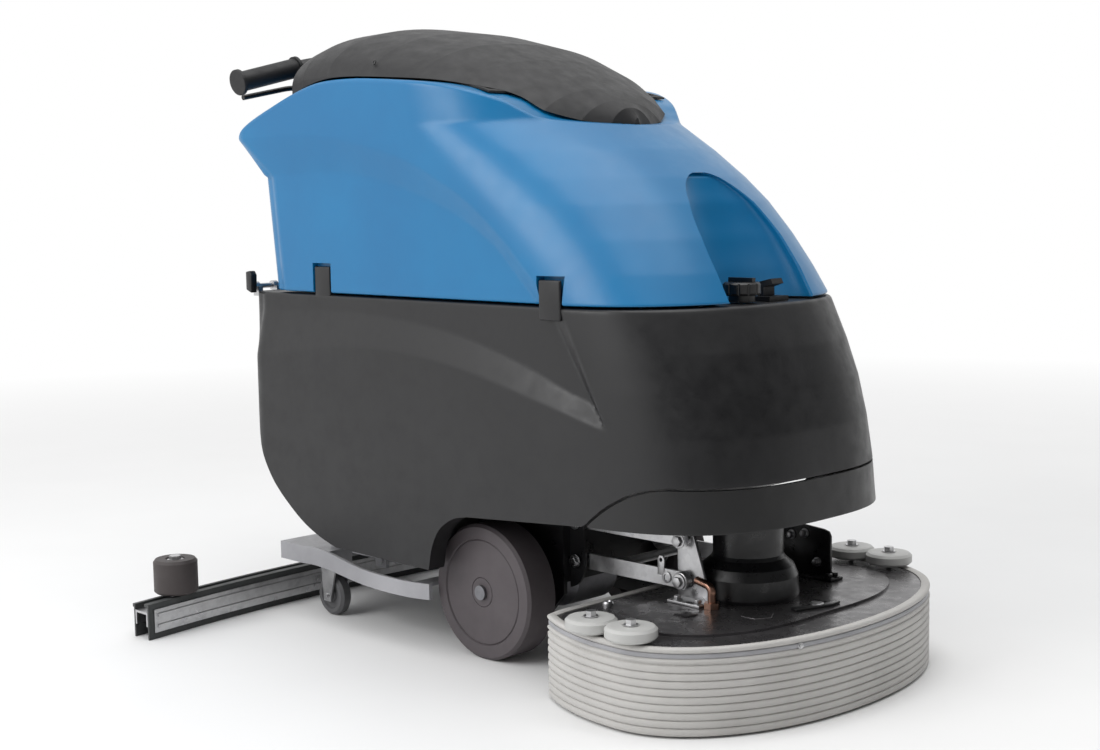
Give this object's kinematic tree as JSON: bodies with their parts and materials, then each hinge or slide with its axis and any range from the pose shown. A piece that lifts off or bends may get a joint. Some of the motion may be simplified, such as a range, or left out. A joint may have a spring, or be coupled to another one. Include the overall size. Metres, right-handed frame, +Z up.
{
  "type": "walk-behind floor scrubber",
  "caption": "Walk-behind floor scrubber-dryer with a tipping recovery tank, domed lid, twin-brush deck with a ribbed skirt, swivel casters and a rear squeegee.",
  "frame": {"origin": "middle of the footprint, on the floor", "axes": "+X forward, towards the brush deck; +Y to the machine's left; +Z up"},
  "size_m": [1.2896, 1.098, 1.089],
  "materials": {
    "body_plastic": "fine-grained dark grey moulding",
    "tank_plastic": "glossy blue moulding",
    "lid_plastic": "dark grey grained moulding",
    "fascia_plastic": "black moulding",
    "black_steel": "black powder coat",
    "grey_paint": "light grey paint",
    "deck_paint": "dark metallic paint",
    "zinc": "zinc-plated steel",
    "wheel_rubber": "solid grey-brown rubber",
    "caster_rubber": "grey rubber",
    "skirt_rubber": "light grey ribbed rubber",
    "blade_rubber": "dark grey rubber",
    "roller_plastic": "light grey moulding",
    "end_roller_rubber": "dark grey rubber",
    "bristle_plastic": "nylon bristles",
    "brass": "bare brass",
    "battery_plastic": "black battery case",
    "float_plastic": "white float",
    "panel_plastic": "panel plate with a dark window",
    "button_green": "green key",
    "button_blue": "blue key",
    "button_grey": "grey key",
    "seal_rubber": "soft black rubber",
    "alloy": "cast alloy housing"
  },
  "bodies": {
    "chassis": {"solution_tank": "body_plastic", "front_fascia": "fascia_plastic", "chassis_frame": "black_steel", "rear_frame": "grey_paint", "transaxle": "alloy", "drive_motor": "black_steel", "tilt_hinges": "zinc", "batteries": "battery_plastic", "tank_catch": "lid_plastic", "solution_filter": "float_plastic"},
    "filler_cap": {"filler_cap": "fascia_plastic"},
    "tank": {"recovery_tank": "tank_plastic", "lid_seal": "seal_rubber", "rear_console": "lid_plastic", "handlebar": "black_steel", "handle_grips": "lid_plastic", "control_panel": "panel_plastic", "vacuum_motor": "fascia_plastic", "suction_inlet": "fascia_plastic", "float_cage": "float_plastic"},
    "drain_plug": {"drain_plug": "fascia_plastic"},
    "float": {"float_ball": "float_plastic"},
    "lid": {"tank_lid": "lid_plastic"},
    "drive_lever": {"drive_lever": "black_steel"},
    "key": {"key_switch": "zinc"},
    "flow_knob": {"flow_knob": "fascia_plastic"},
    "button_brush": {"button_brush": "button_green"},
    "button_suction": {"button_suction": "button_blue"},
    "button_water": {"button_water": "button_grey"},
    "lower_links": {"lower_links": "zinc"},
    "upper_links": {"upper_links": "zinc"},
    "deck": {"deck_plate": "deck_paint", "deck_skirt": "skirt_rubber", "gear_cases": "alloy", "brush_motor": "black_steel", "water_elbow": "brass", "roller_bolts": "zinc"},
    "squeegee_arm": {"squeegee_arm": "grey_paint"},
    "squeegee": {"squeegee_carrier": "black_steel", "squeegee_body": "zinc", "front_blade": "blade_rubber", "rear_blade": "blade_rubber", "clamp_strips": "zinc"},
    "lift_lever": {"lift_lever": "black_steel"},
    "drive_wheel_right": {"drive_wheel_right": "wheel_rubber"},
    "caster_fork_right": {"caster_fork_right": "zinc"},
    "caster_wheel_right": {"caster_wheel_right": "caster_rubber"},
    "brush_right": {"brush_hub_right": "fascia_plastic", "brush_bristles_right": "bristle_plastic"},
    "rear_roller_right": {"rear_roller_right": "roller_plastic"},
    "front_roller_right": {"front_roller_right": "roller_plastic"},
    "end_roller_right": {"end_roller_right": "end_roller_rubber"},
    "drive_wheel_left": {"drive_wheel_left": "wheel_rubber"},
    "caster_fork_left": {"caster_fork_left": "zinc"},
    "caster_wheel_left": {"caster_wheel_left": "caster_rubber"},
    "brush_left": {"brush_hub_left": "fascia_plastic", "brush_bristles_left": "bristle_plastic"},
    "rear_roller_left": {"rear_roller_left": "roller_plastic"},
    "front_roller_left": {"front_roller_left": "roller_plastic"},
    "end_roller_left": {"end_roller_left": "end_roller_rubber"}
  },
  "joints": [
    {"name": "drive_wheel_right_spin", "type": "hinge", "parent": "chassis", "child": "drive_wheel_right", "pos_m": [0.0163, -0.1945, 0.11625], "axis": [0, 1, 0], "continuous": true},
    {"name": "caster_right_swivel", "type": "hinge", "parent": "chassis", "child": "caster_fork_right", "pos_m": [-0.4057, -0.205, 0.095], "axis": [0, 0, 1], "continuous": true},
    {"name": "caster_right_spin", "type": "hinge", "parent": "caster_fork_right", "child": "caster_wheel_right", "pos_m": [-0.4217, -0.205, 0.038], "axis": [0, 1, 0], "continuous": true},
    {"name": "drive_wheel_left_spin", "type": "hinge", "parent": "chassis", "child": "drive_wheel_left", "pos_m": [0.0163, 0.1945, 0.11625], "axis": [0, 1, 0], "continuous": true},
    {"name": "caster_left_swivel", "type": "hinge", "parent": "chassis", "child": "caster_fork_left", "pos_m": [-0.4057, 0.205, 0.095], "axis": [0, 0, 1], "continuous": true},
    {"name": "caster_left_spin", "type": "hinge", "parent": "caster_fork_left", "child": "caster_wheel_left", "pos_m": [-0.4217, 0.205, 0.038], "axis": [0, 1, 0], "continuous": true},
    {"name": "tank_tilt", "type": "hinge", "parent": "chassis", "child": "tank", "pos_m": [-0.5877, 0, 0.618], "axis": [0, -1, 0], "range_deg": [0, 75]},
    {"name": "lid_open", "type": "hinge", "parent": "tank", "child": "lid", "pos_m": [-0.3337, 0.282, 0.996], "axis": [-1, 0, 0], "range_deg": [0, 80]},
    {"name": "drive_lever_squeeze", "type": "hinge", "parent": "tank", "child": "drive_lever", "pos_m": [-0.5317, 0, 1.002], "axis": [0, 1, 0], "range_deg": [0, 12], "stiffness_Nm_per_rad": 1},
    {"name": "button_brush_press", "type": "slide", "parent": "tank", "child": "button_brush", "axis": [0.7557, 0, -0.6549], "range_m": [0, 0.0012], "stiffness_N_per_m": 300},
    {"name": "button_suction_press", "type": "slide", "parent": "tank", "child": "button_suction", "axis": [0.7557, 0, -0.6549], "range_m": [0, 0.0012], "stiffness_N_per_m": 300},
    {"name": "button_water_press", "type": "slide", "parent": "tank", "child": "button_water", "axis": [0.7557, 0, -0.6549], "range_m": [0, 0.0012], "stiffness_N_per_m": 300},
    {"name": "key_turn", "type": "hinge", "parent": "tank", "child": "key", "pos_m": [-0.56431, 0.062, 0.99924], "axis": [-0.7557, 0, 0.6549], "range_deg": [-90, 0]},
    {"name": "flow_knob_turn", "type": "hinge", "parent": "tank", "child": "flow_knob", "pos_m": [-0.55253, -0.052, 1.01285], "axis": [-0.7557, 0, 0.6549], "range_deg": [0, 270]},
    {"name": "drain_plug_turn", "type": "hinge", "parent": "tank", "child": "drain_plug", "pos_m": [-0.5227, -0.15, 0.69], "axis": [-1, 0, 0], "range_deg": [0, 90]},
    {"name": "float_rise", "type": "slide", "parent": "tank", "child": "float", "axis": [0, 0, 1], "range_m": [0, 0.06]},
    {"name": "filler_cap_turn", "type": "hinge", "parent": "chassis", "child": "filler_cap", "pos_m": [0.4243, -0.034, 0.625], "axis": [0, 0, 1], "range_deg": [0, 120]},
    {"name": "deck_lift", "type": "hinge", "parent": "chassis", "child": "lower_links", "pos_m": [0.1283, 0, 0.168], "axis": [0, -1, 0], "range_deg": [0, 9]},
    {"name": "upper_link_lift", "type": "hinge", "parent": "chassis", "child": "upper_links", "pos_m": [0.1283, 0, 0.234], "axis": [0, -1, 0], "range_deg": [0, 9]},
    {"name": "deck_level", "type": "hinge", "parent": "lower_links", "child": "deck", "pos_m": [0.3573, 0, 0.168], "axis": [0, -1, 0], "range_deg": [-9, 0]},
    {"name": "brush_right_spin", "type": "hinge", "parent": "deck", "child": "brush_right", "pos_m": [0.4177, -0.166, 0.09], "axis": [0, 0, 1], "continuous": true},
    {"name": "rear_roller_right_spin", "type": "hinge", "parent": "deck", "child": "rear_roller_right", "pos_m": [0.3753, -0.332, 0.148], "axis": [0, 0, 1], "continuous": true},
    {"name": "front_roller_right_spin", "type": "hinge", "parent": "deck", "child": "front_roller_right", "pos_m": [0.4543, -0.33, 0.148], "axis": [0, 0, 1], "continuous": true},
    {"name": "brush_left_spin", "type": "hinge", "parent": "deck", "child": "brush_left", "pos_m": [0.4177, 0.166, 0.09], "axis": [0, 0, 1], "continuous": true},
    {"name": "rear_roller_left_spin", "type": "hinge", "parent": "deck", "child": "rear_roller_left", "pos_m": [0.3753, 0.332, 0.148], "axis": [0, 0, 1], "continuous": true},
    {"name": "front_roller_left_spin", "type": "hinge", "parent": "deck", "child": "front_roller_left", "pos_m": [0.4543, 0.33, 0.148], "axis": [0, 0, 1], "continuous": true},
    {"name": "squeegee_lift", "type": "hinge", "parent": "chassis", "child": "squeegee_arm", "pos_m": [-0.4237, 0, 0.084], "axis": [0, 1, 0], "range_deg": [0, 8]},
    {"name": "squeegee_yaw", "type": "hinge", "parent": "squeegee_arm", "child": "squeegee", "pos_m": [-0.5497, 0, 0.075], "axis": [0, 0, 1], "range_deg": [-10, 10]},
    {"name": "end_roller_right_spin", "type": "hinge", "parent": "squeegee", "child": "end_roller_right", "pos_m": [-0.5567, -0.465, 0.1], "axis": [0, 0, 1], "continuous": true},
    {"name": "end_roller_left_spin", "type": "hinge", "parent": "squeegee", "child": "end_roller_left", "pos_m": [-0.5567, 0.465, 0.1], "axis": [0, 0, 1], "continuous": true},
    {"name": "lift_lever_press", "type": "hinge", "parent": "chassis", "child": "lift_lever", "pos_m": [-0.5437, -0.17, 0.262], "axis": [0, -1, 0], "range_deg": [0, 25], "stiffness_Nm_per_rad": 2}
  ],
  "couplings": [
    {"joint": "upper_link_lift", "follows": "deck_lift", "ratio": 1},
    {"joint": "deck_level", "follows": "deck_lift", "ratio": -1},
    {"joint": "brush_left_spin", "follows": "brush_right_spin", "ratio": -1}
  ]
}
